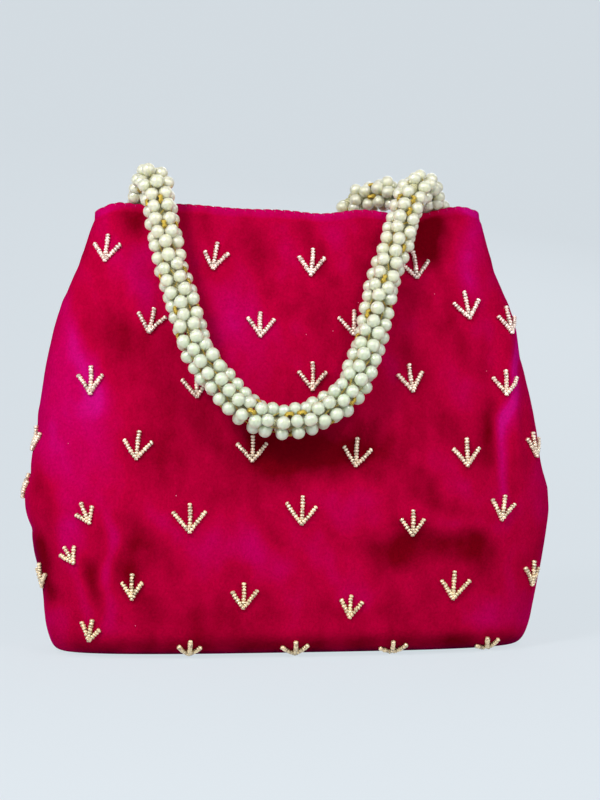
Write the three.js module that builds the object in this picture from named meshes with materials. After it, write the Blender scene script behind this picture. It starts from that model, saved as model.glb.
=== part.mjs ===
import * as THREE from 'three';

// Velvet handbag with two pearl-woven handles, in millimetres, +Z up.
// The origin is on the floor under the middle of the bag, and the front faces -Y.

// Driving dimensions of the cloth body
const hemHeight = 204;
const hemDip = 3;
const hemDipReach = 50;
const hemHalfWidth = 87.5;
const widestHalfWidth = 120;
const widestHeight = 73;
const baseHalfWidth = 108.5;
const hemHalfDepth = 16;
const baseHalfDepth = 44;
const bellyHeight = 20;
const hemSquareness = 3.5;
const baseSquareness = 3.2;
const flareCurve = 1.23;
const footCurve = 1.15;
const depthCurve = 1.5;
const sideRadius = 8;
const frontRadius = 16;
const underRadius = 13;

// Cloth layers and the gaps between sewn pieces
const velvetWall = 1.2;
const liningWall = 0.6;
const boardWall = 1.5;
const gap = 0.3;
const liningDrop = 3;
const liningFootGap = 0.48;

// Magnetic snap, open
const snapRadius = 7;
const snapWall = 2.2;
const snapHoleRadius = 2.1;
const snapPinRadius = 1.6;
const snapPinLength = 1.8;
const snapDrop = 15;

// Pearl handles
const ropeRadius = 8;
const ropeRest = 1.5;
const ropeHoleRadius = 3;
const cordRadius = 2.2;
const anchorSpread = 67;
const anchorDepth = 8.7;
const foldAngle = THREE.MathUtils.degToRad(167);
const foldSteps = 3;
const linkLength = 9;
const firstPivotRise = 6.2;
const rowRadius = 6.5;
const rowHalfRim = 0.9;
const rowHalfLength = 3.6;
const rowHubRadius = 2.2;
const rowHubHalf = 2.4;
const rowStretch = 0.8;
const cordEndDepth = 24;
const tabHalfWidth = 7;
const tabTop = 8;
const tabWall = 1;
const tabClearance = 0.5;

// Facets
const acrossSteps = 20;
const wallSteps = 11;
const underSteps = 5;
const snapSides = 24;
const rowSides = 12;
const ropeSides = 12;
const holeSides = 8;
const ropeSteps = 30;

// Colours and finishes
const crimson = new THREE.MeshStandardMaterial({ color: 0xb4003c, roughness: 0.85 });
const satin = new THREE.MeshStandardMaterial({ color: 0x9c1040, roughness: 0.5 });
const cardboard = new THREE.MeshStandardMaterial({ color: 0xb9a07a, roughness: 0.9 });
const steel = new THREE.MeshStandardMaterial({ color: 0xc9c4b4, roughness: 0.3, metalness: 1 });
const pearl = new THREE.MeshStandardMaterial({ color: 0xe9ead2, roughness: 0.25 });
const cotton = new THREE.MeshStandardMaterial({ color: 0xc8a860, roughness: 0.8 });

const group = new THREE.Group();

function addPiece(name, geometry, material) {
  const mesh = new THREE.Mesh(geometry, material);
  mesh.name = name;
  group.add(mesh);
  return mesh;
}

function smoothRamp(value, low, high) {
  const t = THREE.MathUtils.clamp((value - low) / (high - low), 0, 1);
  return t * t * (3 - 2 * t);
}

// The bag's outer form: half-width, half-depth and squareness of the section at a height

function halfWidth(z) {
  if (z >= widestHeight) {
    const t = (z - widestHeight) / (hemHeight - widestHeight);
    return widestHalfWidth - (widestHalfWidth - hemHalfWidth) * Math.pow(t, flareCurve);
  }
  const t = Math.max(z, 0) / widestHeight;
  const rise = 1 - Math.pow(1 - t, footCurve);
  return baseHalfWidth + (widestHalfWidth - baseHalfWidth) * rise;
}

function halfDepth(z) {
  const t = Math.max(z - bellyHeight, 0) / (hemHeight - bellyHeight);
  return baseHalfDepth - (baseHalfDepth - hemHalfDepth) * Math.pow(t, depthCurve);
}

function squareness(z) {
  return THREE.MathUtils.lerp(baseSquareness, hemSquareness, smoothRamp(z, 0, hemHeight));
}

// A point of the front's outer face. u runs from the left seam, -1, to the right seam, 1.
// v runs from the hem, 0, down the wall to wallShare, and round under the base to 1.
const wallShare = wallSteps / (wallSteps + underSteps);

function outerPoint(u, v) {
  const across = Math.sin((u * Math.PI) / 2);
  let z;
  let insetX = 0;
  let insetY = 0;
  if (v <= wallShare) {
    const dip = hemDip * Math.exp(-Math.pow((across * hemHalfWidth) / hemDipReach, 2));
    z = THREE.MathUtils.lerp(hemHeight - dip, underRadius, v / wallShare);
  } else {
    const turn = (((v - wallShare) / (1 - wallShare)) * Math.PI) / 2;
    z = underRadius * (1 - Math.sin(turn));
    insetX = sideRadius * (1 - Math.cos(turn));
    insetY = frontRadius * (1 - Math.cos(turn));
  }
  const n = squareness(z);
  const x = across * (halfWidth(z) - insetX);
  const bow = Math.pow(Math.max(1 - Math.pow(Math.abs(across), n), 0), 1 / n);
  const depth = (halfDepth(z) - insetY) * bow;
  return new THREE.Vector3(x, -(gap / 2 + depth), z);
}

// How far out of the bag's middle plane the wall stands at a place of the front or back
function wallReach(x, z) {
  const n = squareness(z);
  const across = Math.min(Math.abs(x) / halfWidth(z), 1);
  return gap / 2 + halfDepth(z) * Math.pow(1 - Math.pow(across, n), 1 / n);
}

function clothPoint(u, v, inward) {
  const step = 0.002;
  const left = outerPoint(Math.max(u - step, -1), v);
  const right = outerPoint(Math.min(u + step, 1), v);
  const above = outerPoint(u, Math.max(v - step, 0));
  const below = outerPoint(u, Math.min(v + step, 1));
  const across = right.sub(left);
  const down = below.sub(above);
  const inside = across.cross(down).normalize();
  return outerPoint(u, v).addScaledVector(inside, inward);
}

// Splits the facets of a box's inner face along the same diagonals as those of its outer face,
// so that two layers lie evenly apart where the cloth is twisted.
function matchDiagonals(geometry) {
  const corners = geometry.index.array;
  const inner = geometry.groups[5];
  for (let i = inner.start; i < inner.start + inner.count; i += 6) {
    const [first, second, last, , opposite] = corners.slice(i, i + 6);
    corners.set([first, second, opposite, first, opposite, last], i);
  }
}

// A layer of cloth between two depths in from the outer face. It is a box with a column of
// facets for each step of u and a row for each step of v.
function layerGeometry(columns, rows, face, wall) {
  const geometry = new THREE.BoxGeometry(1, 1, 1, columns.length - 1, rows.length - 1, 1);
  const place = geometry.attributes.position;
  for (let i = 0; i < place.count; i += 1) {
    const u = columns[Math.round((place.getX(i) + 0.5) * (columns.length - 1))];
    const v = rows[Math.round((0.5 - place.getY(i)) * (rows.length - 1))];
    const point = clothPoint(u, v, face + wall * (0.5 - place.getZ(i)));
    place.setXYZ(i, point.x, point.y, point.z);
  }
  matchDiagonals(geometry);
  geometry.computeVertexNormals();
  return geometry;
}

function evenSteps(first, last, count) {
  return Array.from({ length: count + 1 }, (_, i) => THREE.MathUtils.lerp(first, last, i / count));
}

function wallPosition(height) {
  return (wallShare * (hemHeight - height)) / (hemHeight - underRadius);
}

// Front and back panels, sewn at the sides, with the base panel sewn in under them
const columns = evenSteps(-1, 1, acrossSteps);
const rows = evenSteps(0, 1, wallSteps + underSteps);
const velvetGeometry = layerGeometry(columns, rows, 0, velvetWall);
addPiece('front_velvet', velvetGeometry, crimson);
addPiece('back_velvet', velvetGeometry.clone(), crimson).rotation.z = Math.PI;

const liningFace = velvetWall + gap;
const liningInside = liningFace + liningWall;
const boardFloor = velvetWall + gap;
const liningFloor = boardFloor + boardWall + gap;
const liningFoot = liningFloor + liningWall + liningFootGap;
const liningTurn = Math.asin((underRadius - liningFoot) / (underRadius - liningInside));
const liningTop = wallPosition(hemHeight - liningDrop);
const liningEnd = wallShare + ((1 - wallShare) * liningTurn) / (Math.PI / 2);
const liningRows = [liningTop, ...rows.filter((v) => v > liningTop && v < liningEnd), liningEnd];
const liningGeometry = layerGeometry(columns, liningRows, liningFace, liningWall);
addPiece('front_lining', liningGeometry, satin);
addPiece('back_lining', liningGeometry.clone(), satin).rotation.z = Math.PI;

// A flat layer of the base, whose edge lies this far in from the outer wall's foot
function baseLayer(insetX, insetY, floor, wall) {
  const outline = new THREE.Shape();
  const n = squareness(0);
  for (const side of [-1, 1]) {
    for (let i = 0; i < acrossSteps; i += 1) {
      const across = Math.sin(((2 * i) / acrossSteps - 1) * (Math.PI / 2));
      const bow = Math.pow(Math.max(1 - Math.pow(Math.abs(across), n), 0), 1 / n);
      const x = -side * across * (baseHalfWidth - insetX);
      const y = side * bow * (baseHalfDepth - insetY);
      if (side === -1 && i === 0) outline.moveTo(x, y);
      else outline.lineTo(x, y);
    }
  }
  const geometry = new THREE.ExtrudeGeometry(outline, { depth: wall, bevelEnabled: false });
  geometry.translate(0, 0, floor);
  return geometry;
}

addPiece('base_velvet', baseLayer(sideRadius + gap, frontRadius + gap, 0, velvetWall), crimson);
addPiece('base_board', baseLayer(sideRadius + gap, frontRadius + gap, boardFloor, boardWall), cardboard);
const floorTurn = Math.asin((underRadius - liningFloor) / (underRadius - velvetWall));
const floorInsetX = sideRadius - (sideRadius - velvetWall) * Math.cos(floorTurn) + 2 * gap;
const floorInsetY = frontRadius - (frontRadius - velvetWall) * Math.cos(floorTurn) + 2 * gap;
addPiece('base_lining', baseLayer(floorInsetX, floorInsetY, liningFloor, liningWall), satin);

// Magnetic snap: the socket on the front's lining, and the stud on the back's
function turnedGeometry(profile, sides) {
  const points = profile.map(([radius, along]) => new THREE.Vector2(radius, along));
  return new THREE.LatheGeometry(points, sides);
}

function addSnapHalf(name, profile, side) {
  const half = addPiece(name, turnedGeometry(profile, snapSides), steel);
  const height = wallPosition(hemHeight - snapDrop);
  const seat = clothPoint(0, height, liningInside + gap);
  const inward = clothPoint(0, height, liningInside + snapWall).sub(seat).normalize();
  half.quaternion.setFromUnitVectors(new THREE.Vector3(0, 1, 0), inward);
  half.position.copy(seat);
  const turned = new THREE.Group();
  turned.rotation.z = side < 0 ? 0 : Math.PI;
  turned.add(half);
  group.add(turned);
}

addSnapHalf('snap_socket', [
  [snapHoleRadius, 0], [snapRadius, 0], [snapRadius, snapWall],
  [snapHoleRadius, snapWall], [snapHoleRadius, 0],
], -1);
addSnapHalf('snap_stud', [
  [0, 0], [snapRadius, 0], [snapRadius, snapWall], [snapPinRadius, snapWall],
  [snapPinRadius, snapWall + snapPinLength], [0, snapWall + snapPinLength],
], 1);

// Handles. Each is a pearl rope that bends over the hem in three equal steps and hangs in a U.
// side is -1 for the front handle and 1 for the back one.
const foldStep = foldAngle / foldSteps;

function pivots(side) {
  const points = [new THREE.Vector2(side * anchorDepth, hemHeight + firstPivotRise)];
  for (let i = 1; i < foldSteps; i += 1) {
    const last = points[i - 1];
    points.push(new THREE.Vector2(
      last.x + side * linkLength * Math.sin(i * foldStep),
      last.y + linkLength * Math.cos(i * foldStep),
    ));
  }
  return points;
}

// One row of pearls round the rope, waisted so that its neighbours can turn on it
const rowGeometry = turnedGeometry([
  [0, -rowHalfLength], [rowHubRadius, -rowHubHalf], [rowRadius, -rowHalfRim],
  [rowRadius, rowHalfRim], [rowHubRadius, rowHubHalf], [0, rowHalfLength],
], rowSides).rotateX(Math.PI / 2);

function addRow(name, side, x, middle, turn, spread) {
  const row = addPiece(name, rowGeometry.clone().scale(1 + spread / rowRadius, 1, 1), pearl);
  row.rotation.x = -side * turn;
  row.position.set(x, middle.x, middle.y);
}

function ringShape(radius, sides) {
  const points = [];
  for (let i = 0; i < sides; i += 1) {
    const angle = ((i + 0.5) / sides) * 2 * Math.PI;
    points.push(new THREE.Vector2(radius * Math.cos(angle), radius * Math.sin(angle)));
  }
  return points;
}

function ropeAlong(path, radius, holeRadius, steps) {
  const shape = new THREE.Shape(ringShape(radius, holeRadius ? ropeSides : holeSides));
  if (holeRadius) shape.holes.push(new THREE.Path(ringShape(holeRadius, holeSides)));
  return new THREE.ExtrudeGeometry(shape, { steps, extrudePath: path, bevelEnabled: false });
}

// The cord's end and the tab that sews it to the lining
function addEnd(name, side, x) {
  const tabFace = liningInside + tabClearance;
  const tabPlace = wallPosition(hemHeight - (tabTop + cordEndDepth) / 2);
  const u = (2 / Math.PI) * Math.asin(x / halfWidth(hemHeight - cordEndDepth / 2));
  const reach = (2 / Math.PI) * (tabHalfWidth / Math.sqrt(halfWidth(hemHeight) ** 2 - x ** 2));
  const half = tabPlace - wallPosition(hemHeight - tabTop);
  const across = side < 0 ? u : -u;
  const tabColumns = evenSteps(across - reach, across + reach, 3);
  const tabRows = evenSteps(tabPlace - half, tabPlace + half, 3);
  const tab = addPiece(`${name}_tab`, layerGeometry(tabColumns, tabRows, tabFace, tabWall), satin);
  if (side > 0) tab.rotation.z = Math.PI;

  const footFace = tabFace + tabWall + gap + cordRadius;
  const foot = clothPoint(across, wallPosition(hemHeight - cordEndDepth), footFace);
  const topHeight = hemHeight + firstPivotRise - linkLength / 2 - rowHalfLength - gap;
  const top = new THREE.Vector3(x, side * anchorDepth, topHeight);
  const bottom = new THREE.Vector3(x, -side * foot.y, foot.z);
  addPiece(`${name}_cord_end`, ropeAlong(new THREE.LineCurve3(bottom, top), cordRadius, 0, 1), cotton);
}

// hang lists where the rope hangs: its place across the bag and its drop below the hem. It hangs
// straight from its last pivot, or lies on the wall where the wall stands out further.
function addHandle(name, side, ends, hang) {
  const pivot = pivots(side);
  for (const [hand, end] of Object.entries(ends)) {
    const place = `${name}_${hand}`;
    const acrossAt = (step) => THREE.MathUtils.lerp(end.anchor, end.start, step / (foldSteps - 1));
    const spread = (rowStretch * Math.abs(end.start - end.anchor)) / (foldSteps - 1);
    const endMiddle = new THREE.Vector2(pivot[0].x, pivot[0].y - linkLength / 2);
    addRow(`${place}_end_row`, side, end.anchor, endMiddle, 0, 0);
    for (let i = 1; i < foldSteps; i += 1) {
      const middle = pivot[i - 1].clone().add(pivot[i]).multiplyScalar(0.5);
      const x = (acrossAt(i - 1) + acrossAt(i)) / 2;
      addRow(`${place}_fold_row_${i}`, side, x, middle, i * foldStep, spread);
    }
    addEnd(place, side, end.anchor);
  }

  const last = pivot[foldSteps - 1];
  const lean = Math.PI - foldAngle;
  const clearStart = (ropeRadius * Math.sin(foldStep / 2) - gap) / Math.cos(foldStep / 2);
  const hangPoint = (x, drop) => {
    const z = hemHeight - drop;
    const hanging = side * last.x + (last.y - z) * Math.tan(lean);
    const resting = wallReach(x, z) + ropeRadius + ropeRest;
    return new THREE.Vector3(x, side * Math.max(hanging, resting), z);
  };
  const startDrop = hemHeight - last.y + clearStart * Math.cos(lean);
  const route = [
    hangPoint(ends.left.start, startDrop),
    ...hang.map(([x, drop]) => hangPoint(x, drop)),
    hangPoint(ends.right.start, startDrop),
  ];
  const path = new THREE.CatmullRomCurve3(route, false, 'centripetal');
  addPiece(`${name}_pearls`, ropeAlong(path, ropeRadius, ropeHoleRadius, ropeSteps), pearl);
  addPiece(`${name}_cord`, ropeAlong(path, cordRadius, 0, ropeSteps), cotton);
}

addHandle('front', -1, {
  left: { anchor: -anchorSpread, start: -60 },
  right: { anchor: anchorSpread, start: 54 },
}, [
  [-56, 15], [-53, 31], [-48, 47], [-43, 63], [-34, 78], [-22, 92], [-3, 100],
  [13, 96], [26, 88], [34, 74], [39, 57], [43, 38], [48, 17],
]);
addHandle('back', 1, {
  left: { anchor: -anchorSpread, start: -60 },
  right: { anchor: anchorSpread, start: 36 },
}, [
  [-57, 15], [-54, 31], [-50, 47], [-45, 63], [-38, 79], [-26, 94], [-11, 100],
  [4, 96], [16, 86], [24, 70], [29, 52], [33, 32], [35, 14],
]);

export default group;
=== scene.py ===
import math
import random
from collections import defaultdict, namedtuple

import bmesh
import bpy
from bpy.props import FloatProperty, FloatVectorProperty, IntProperty, PointerProperty
from bpy.types import Operator, Panel, PropertyGroup
from mathutils import Matrix, Vector, noise
from mathutils.bvhtree import BVHTree
from mathutils.geometry import interpolate_bezier


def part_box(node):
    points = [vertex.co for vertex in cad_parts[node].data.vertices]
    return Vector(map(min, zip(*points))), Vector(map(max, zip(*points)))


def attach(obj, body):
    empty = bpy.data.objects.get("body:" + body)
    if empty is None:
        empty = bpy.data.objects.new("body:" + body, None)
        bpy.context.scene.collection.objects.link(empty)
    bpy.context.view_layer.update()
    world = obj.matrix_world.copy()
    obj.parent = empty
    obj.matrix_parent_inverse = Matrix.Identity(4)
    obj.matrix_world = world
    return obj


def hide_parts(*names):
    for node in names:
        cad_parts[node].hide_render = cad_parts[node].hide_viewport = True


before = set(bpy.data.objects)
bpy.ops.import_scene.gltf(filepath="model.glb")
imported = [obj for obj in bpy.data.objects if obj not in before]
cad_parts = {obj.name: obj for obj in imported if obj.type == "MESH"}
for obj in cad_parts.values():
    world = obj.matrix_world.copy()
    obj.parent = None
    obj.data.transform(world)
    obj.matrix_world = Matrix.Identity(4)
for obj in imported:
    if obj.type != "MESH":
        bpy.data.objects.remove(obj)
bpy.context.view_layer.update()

bl_info = {
    "name": "Velvet Potli Bag",
    "version": (1, 0, 0),
    "blender": (4, 5, 0),
    "location": "3D View > Sidebar > Potli",
    "description": "Builds a velvet potli bag with pearl rope handles and bead sprigs",
    "category": "Add Mesh",
}

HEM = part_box("front_velvet")[1].z
MM = 0.001


# Sizes and colours

def length(name, description, default):
    return FloatProperty(name=name, description=description, default=default, unit="LENGTH", precision=5)


def angle(name, description, degrees):
    return FloatProperty(name=name, description=description, default=math.radians(degrees), subtype="ANGLE")


def colour(name, description, default):
    return FloatVectorProperty(
        name=name, description=description, default=default, subtype="COLOR", size=3, min=0, max=1
    )


class PotliClothSettings(PropertyGroup):
    hem_half_width: length("Hem half-width", "From the middle to a side seam, at the hem", 87.5 * MM)
    widest_half_width: length("Widest half-width", "From the middle to a side seam, at the widest", 120 * MM)
    widest_height: length("Widest height", "Height of the widest place", 73 * MM)
    base_half_width: length("Base half-width", "From the middle to a side seam, at the floor", 108.5 * MM)
    hem_half_depth: length("Hem half-depth", "From the middle to the front, at the hem", 16 * MM)
    base_half_depth: length("Base half-depth", "From the middle to the front, at the floor", 44 * MM)
    hem_roll: length("Hem roll", "Radius of the turned-in hem", 1.5 * MM)
    facing_depth: length("Facing depth", "How far the velvet goes down inside the hem", 16 * MM)
    velvet_wall: length("Velvet thickness", "Thickness of the velvet", 0.9 * MM)
    # Painted shade falls in the wine tone, and painted highlights and sheen in the magenta and violet tones.
    crimson: colour("Crimson", "The pile seen straight on", (0.44, 0.0002, 0.036))
    magenta: colour("Magenta", "The pile brushed up", (0.5, 0.0003, 0.09))
    violet: colour("Violet", "The pile where it shines most", (0.54, 0.003, 0.17))
    stitches: colour("Stitches", "The hem's thread", (0.6, 0.02, 0.17))
    wine: colour("Wine", "The pile brushed down", (0.17, 0.0001, 0.006))
    lining: colour("Lining", "The satin inside", (0.3, 0.004, 0.045))


class PotliHandleSettings(PropertyGroup):
    pearl_diameter: length("Pearl diameter", "Diameter of one pearl", 6.0 * MM)
    ring_radius: length("Ring radius", "From the cord's middle to a pearl's middle", 5.3 * MM)
    row_pitch: length("Row pitch", "From one row of pearls to the next", 5.9 * MM)
    pearls_round: IntProperty(name="Pearls round", description="Pearls in one row", default=5, min=3)
    cord_radius: length("Cord radius", "Radius of the core cord", 2.0 * MM)
    pearl: colour("Pearl", "Colour of the pearls near the hem", (0.7, 0.745, 0.56))
    mint: colour("Mint", "Colour of the pearls in the handle's bow", (0.63, 0.75, 0.575))
    cord: colour("Cord", "Colour of the core cord", (0.72, 0.7, 0.42))
    thread: colour("Thread", "Colour of the weaving thread", (0.74, 0.52, 0.07))


class PotliSprigSettings(PropertyGroup):
    bead_diameter: length("Bead diameter", "Diameter of one seed bead", 2.3 * MM)
    bead_pitch: length("Bead pitch", "From one bead to the next", 1.36 * MM)
    stem_length: length("Stem length", "Length of the middle arm", 12.2 * MM)
    arm_length: length("Arm length", "Length of a side arm", 10.2 * MM)
    silver: colour("Silver", "Colour of the upper beads", (0.95, 0.76, 0.68))
    gold: colour("Gold", "Colour of the lower beads", (0.86, 0.7, 0.42))


class PotliStageSettings(PropertyGroup):
    distance: length("Camera distance", "From the camera to the bag's middle", 0.75)
    azimuth: angle("Azimuth", "Camera turned to the bag's right", -6)
    elevation: angle("Elevation", "Camera above level", 0.5)
    floor: colour("Floor", "Colour of the floor and backdrop", (0.74, 0.805, 0.855))


# Form of the bag

# How far each side bulges past its plain curve, as (height, distance out) in millimetres
SIDE_BULGES = {
    "left": (
        (0, 0), (12, 0.8), (28, 0), (48, -1.0), (66, 1.8), (89, -0.9), (110, 1.8), (150, 2.9), (185, 0.6),
        (208, -1.0),
    ),
    "right": (
        (0, 0), (16, 1.4), (48, 2.0), (62, 2.2), (84, 0.4), (124, 0.5), (152, -1.6), (180, 0.3), (208, 0.6),
    ),
}
# Where the hem sags, as (place across, reach, drop) in millimetres
HEM_SAGS = ((14, 14, 2.2), (53, 15, 4.4), (-90, 7, 1.6), (-22, 16, 0.7), (-64, 9, 1.2))


def ramp(value, low, high):
    t = min(max((value - low) / (high - low), 0), 1)
    return t * t * (3 - 2 * t)


def hump(distance, reach):
    """1 at no distance, and fading away past the reach."""
    return math.exp(-((distance / reach) ** 2))


def bow_at(across, squareness):
    """How far out a squared round is at a place across it, as a share of its depth."""
    return max(1 - abs(across) ** squareness, 0) ** (1 / squareness)


def turned(point, side):
    """The front's point as it is for the front, or turned half round for the back."""
    return point if side < 0 else Vector((-point.x, -point.y, point.z))


class Form:
    """The bag's outer form, from its sizes. The side is -1 for the front and 1 for the back."""

    under_radius = 12 * MM
    side_radius = 5 * MM
    front_radius = 22 * MM
    corner_hold = 1.5
    corner_power = 6
    belly_height = 20 * MM
    hem_dip = 3 * MM
    dip_reach = 50 * MM
    hem_corner_drop = 2.5 * MM
    hem_corner = (0.88, 1.04)
    hem_squareness = 3.5
    base_squareness = 3.2
    flare_curve = 1.23
    flare_reach = 1.2
    foot_curve = 1.15
    depth_curve = 1.5
    seam_lap = 0.12 * MM
    step_across = 0.004
    step_up = 0.3 * MM

    def __init__(self):
        cloth = bpy.context.scene.potli_cloth
        self.hem_half_width = cloth.hem_half_width
        self.widest_half_width = cloth.widest_half_width
        self.widest_height = cloth.widest_height
        self.base_half_width = cloth.base_half_width
        self.hem_half_depth = cloth.hem_half_depth
        self.base_half_depth = cloth.base_half_depth
        self.roll = cloth.hem_roll
        self.facing = cloth.facing_depth

    def half_width(self, z):
        widest = self.widest_half_width
        if z >= self.widest_height:
            t = (z - self.widest_height) / (HEM - self.widest_height)
            return widest - (widest - self.hem_half_width) * min(t, self.flare_reach) ** self.flare_curve
        t = max(z, 0) / self.widest_height
        rise = 1 - (1 - t) ** self.foot_curve
        return self.base_half_width + (widest - self.base_half_width) * rise

    def half_depth(self, z):
        t = max(z - self.belly_height, 0) / (HEM - self.belly_height)
        return self.base_half_depth - (self.base_half_depth - self.hem_half_depth) * t ** self.depth_curve

    def squareness(self, z):
        return self.base_squareness + (self.hem_squareness - self.base_squareness) * ramp(z, 0, HEM)

    def hem_height(self, across, side):
        """The hem dips in its middle and at its corners, and sags where the handles pull beside it."""
        x = -side * across * self.hem_half_width
        height = HEM - self.hem_dip * hump(x, self.dip_reach)
        height -= self.hem_corner_drop * ramp(abs(across), *self.hem_corner)
        for middle, reach, drop in HEM_SAGS:
            height -= drop * MM * hump(x / MM - middle, reach)
        return height

    def outer(self, u, down, inset=(0.0, 0.0)):
        """A point of the front's plain outer face, at u across and at height down."""
        across = math.sin(u * math.pi / 2)
        bow = bow_at(across, self.squareness(down))
        x = across * (self.half_width(down) - inset[0])
        y = self.seam_lap - (self.half_depth(down) - inset[1]) * bow
        return Vector((x, y, down))

    def slouch(self, point):
        """Moves a point at the bag's side as far out as the side bulges at its height."""
        bulges = SIDE_BULGES["left" if point.x < 0 else "right"]
        z = point.z / MM
        out = 0.0
        for (low, first), (high, last) in zip(bulges, bulges[1:]):
            if low <= z < high:
                out = first + (last - first) * ramp(z, low, high)
        share = min(abs(point.x) / self.half_width(point.z), 1) ** 3
        return Vector((math.copysign(out * MM * share, point.x), 0, 0))

    def wall(self, u, z):
        """A point on the wall and its outward normal. Below the under radius, z counts on round the base."""

        def at(u_at, z_at):
            if z_at >= self.under_radius:
                return self.outer(u_at, z_at)
            turn = (self.under_radius - z_at) / self.under_radius
            height = self.under_radius * (1 - math.sin(turn))
            lean = 1 - math.cos(turn)
            corner = lean ** (1 + self.corner_hold * abs(u_at) ** self.corner_power)
            return self.outer(u_at, height, (self.side_radius * corner, self.front_radius * lean))

        left = at(max(u - self.step_across, -1), z)
        right = at(min(u + self.step_across, 1), z)
        above = at(u, z + self.step_up)
        below = at(u, z - self.step_up)
        normal = (right - left).cross(above - below).normalized()
        return at(u, z), normal


# Folds and creases, each as (start, end, how far out, how wide), x and z in the front's plane
FRONT_CREASES = (
    ((-108, 76), (-88, 14), 1.3, 6),
    ((-87, 68), (-82, 14), 1.2, 6),
    ((-79, 58), (-74, 26), -1.2, 6),
    ((-98, 62), (-90, 22), -1.1, 6),
    ((-113, 60), (-106, 18), -1.2, 6),
    ((-104, 100), (-52, 58), -0.8, 8),
    ((-84, 76), (-34, 52), 0.8, 6),
    ((30, 48), (86, 47), -1.1, 7),
    ((40, 60), (98, 62), 0.9, 6),
    ((48, 94), (78, 70), 0.8, 6),
    ((98, 152), (103, 76), 1.7, 4),
    ((90, 152), (94, 84), -1.2, 5),
    ((-76, 180), (-70, 146), 0.8, 6),
    ((-34, 168), (-28, 138), 0.7, 6),
    ((-26, 64), (34, 40), -0.6, 9),
    ((66, 196), (90, 186), -0.9, 5),
)
BACK_CREASES = (
    ((-100, 92), (-70, 24), -1.4, 6),
    ((70, 60), (104, 40), -1.3, 6),
    ((-30, 150), (20, 120), 0.8, 9),
    ((40, 110), (74, 86), -0.7, 8),
)
CREASE_FADE = (-0.15, 0.3)
CREASE_WANDER = 1.6
CREASE_WAVES = 40
# Slack of the cloth, as (waves to the metre, how far out in millimetres), from broad to fine
SLACK_WAVES = ((17, 1.5), (42, 0.65), (120, 0.16))
PUCKER_HEIGHT = 0.35 * MM
PUCKER_REACH = 9 * MM
SEAM_DEPTH = 1.1 * MM
SEAM_REACH = 1.5 * MM


def crease_depth(x, z, creases):
    total = 0.0
    for (x0, z0), (x1, z1), out, width in creases:
        along = Vector((x1 - x0, z1 - z0))
        off = Vector((x / MM - x0, z / MM - z0))
        t = off.dot(along) / along.length_squared
        across = abs(off.x * along.y - off.y * along.x) / along.length
        fade = ramp(t, *CREASE_FADE) * ramp(1 - t, *CREASE_FADE)
        bend = CREASE_WANDER * noise.noise(Vector((x * CREASE_WAVES, z * CREASE_WAVES, out)))
        total += out * MM * fade * hump(across + bend, width)
    return total


def slack(point, side):
    """How far the cloth stands out from the plain form at a place."""
    place = Vector((point.x, point.y * 0.5, point.z))
    seed = Vector((0, 7.3 if side > 0 else 0, 0))
    total = sum(out * MM * noise.noise(place * waves + seed) for waves, out in SLACK_WAVES)
    total += crease_depth(-side * point.x, point.z, FRONT_CREASES if side < 0 else BACK_CREASES)
    calm = ramp(point.z, 2 * MM, 30 * MM) * (0.25 + 0.75 * ramp(HEM - point.z, 4 * MM, 40 * MM))
    seam = abs(point.y)
    pucker = PUCKER_HEIGHT * noise.noise(Vector((seam * 60, point.z * 210, side * 2.0)))
    return total * calm + pucker * math.exp(-seam / PUCKER_REACH) - SEAM_DEPTH * math.exp(-seam / SEAM_REACH)


# Panels

def new_object(name, bm, material):
    for face in bm.faces:
        face.smooth = True
    mesh = bpy.data.meshes.new(name)
    bm.to_mesh(mesh)
    bm.free()
    mesh.materials.append(material)
    made = bpy.data.objects.new(name, mesh)
    bpy.context.scene.collection.objects.link(made)
    return made


def settle(piece, body, slot, *nodes):
    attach(piece, body)
    if nodes:
        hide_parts(*nodes)
    return piece


def refinish(node, material):
    """Gives a CAD part that stays in view its procedural material."""
    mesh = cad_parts[node].data
    mesh.materials.clear()
    mesh.materials.append(material)


def add_thickness(piece, thickness):
    wall = piece.modifiers.new("Thickness", "SOLIDIFY")
    wall.thickness = thickness
    wall.offset = -1
    wall.use_even_offset = False


def panel_grid(columns, rows):
    bm = bmesh.new()
    bm.loops.layers.uv.new("UVMap")
    bmesh.ops.create_grid(bm, x_segments=columns, y_segments=rows, size=0.5, calc_uvs=True)
    return bm


STITCH_PITCH = 4.4 * MM


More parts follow.
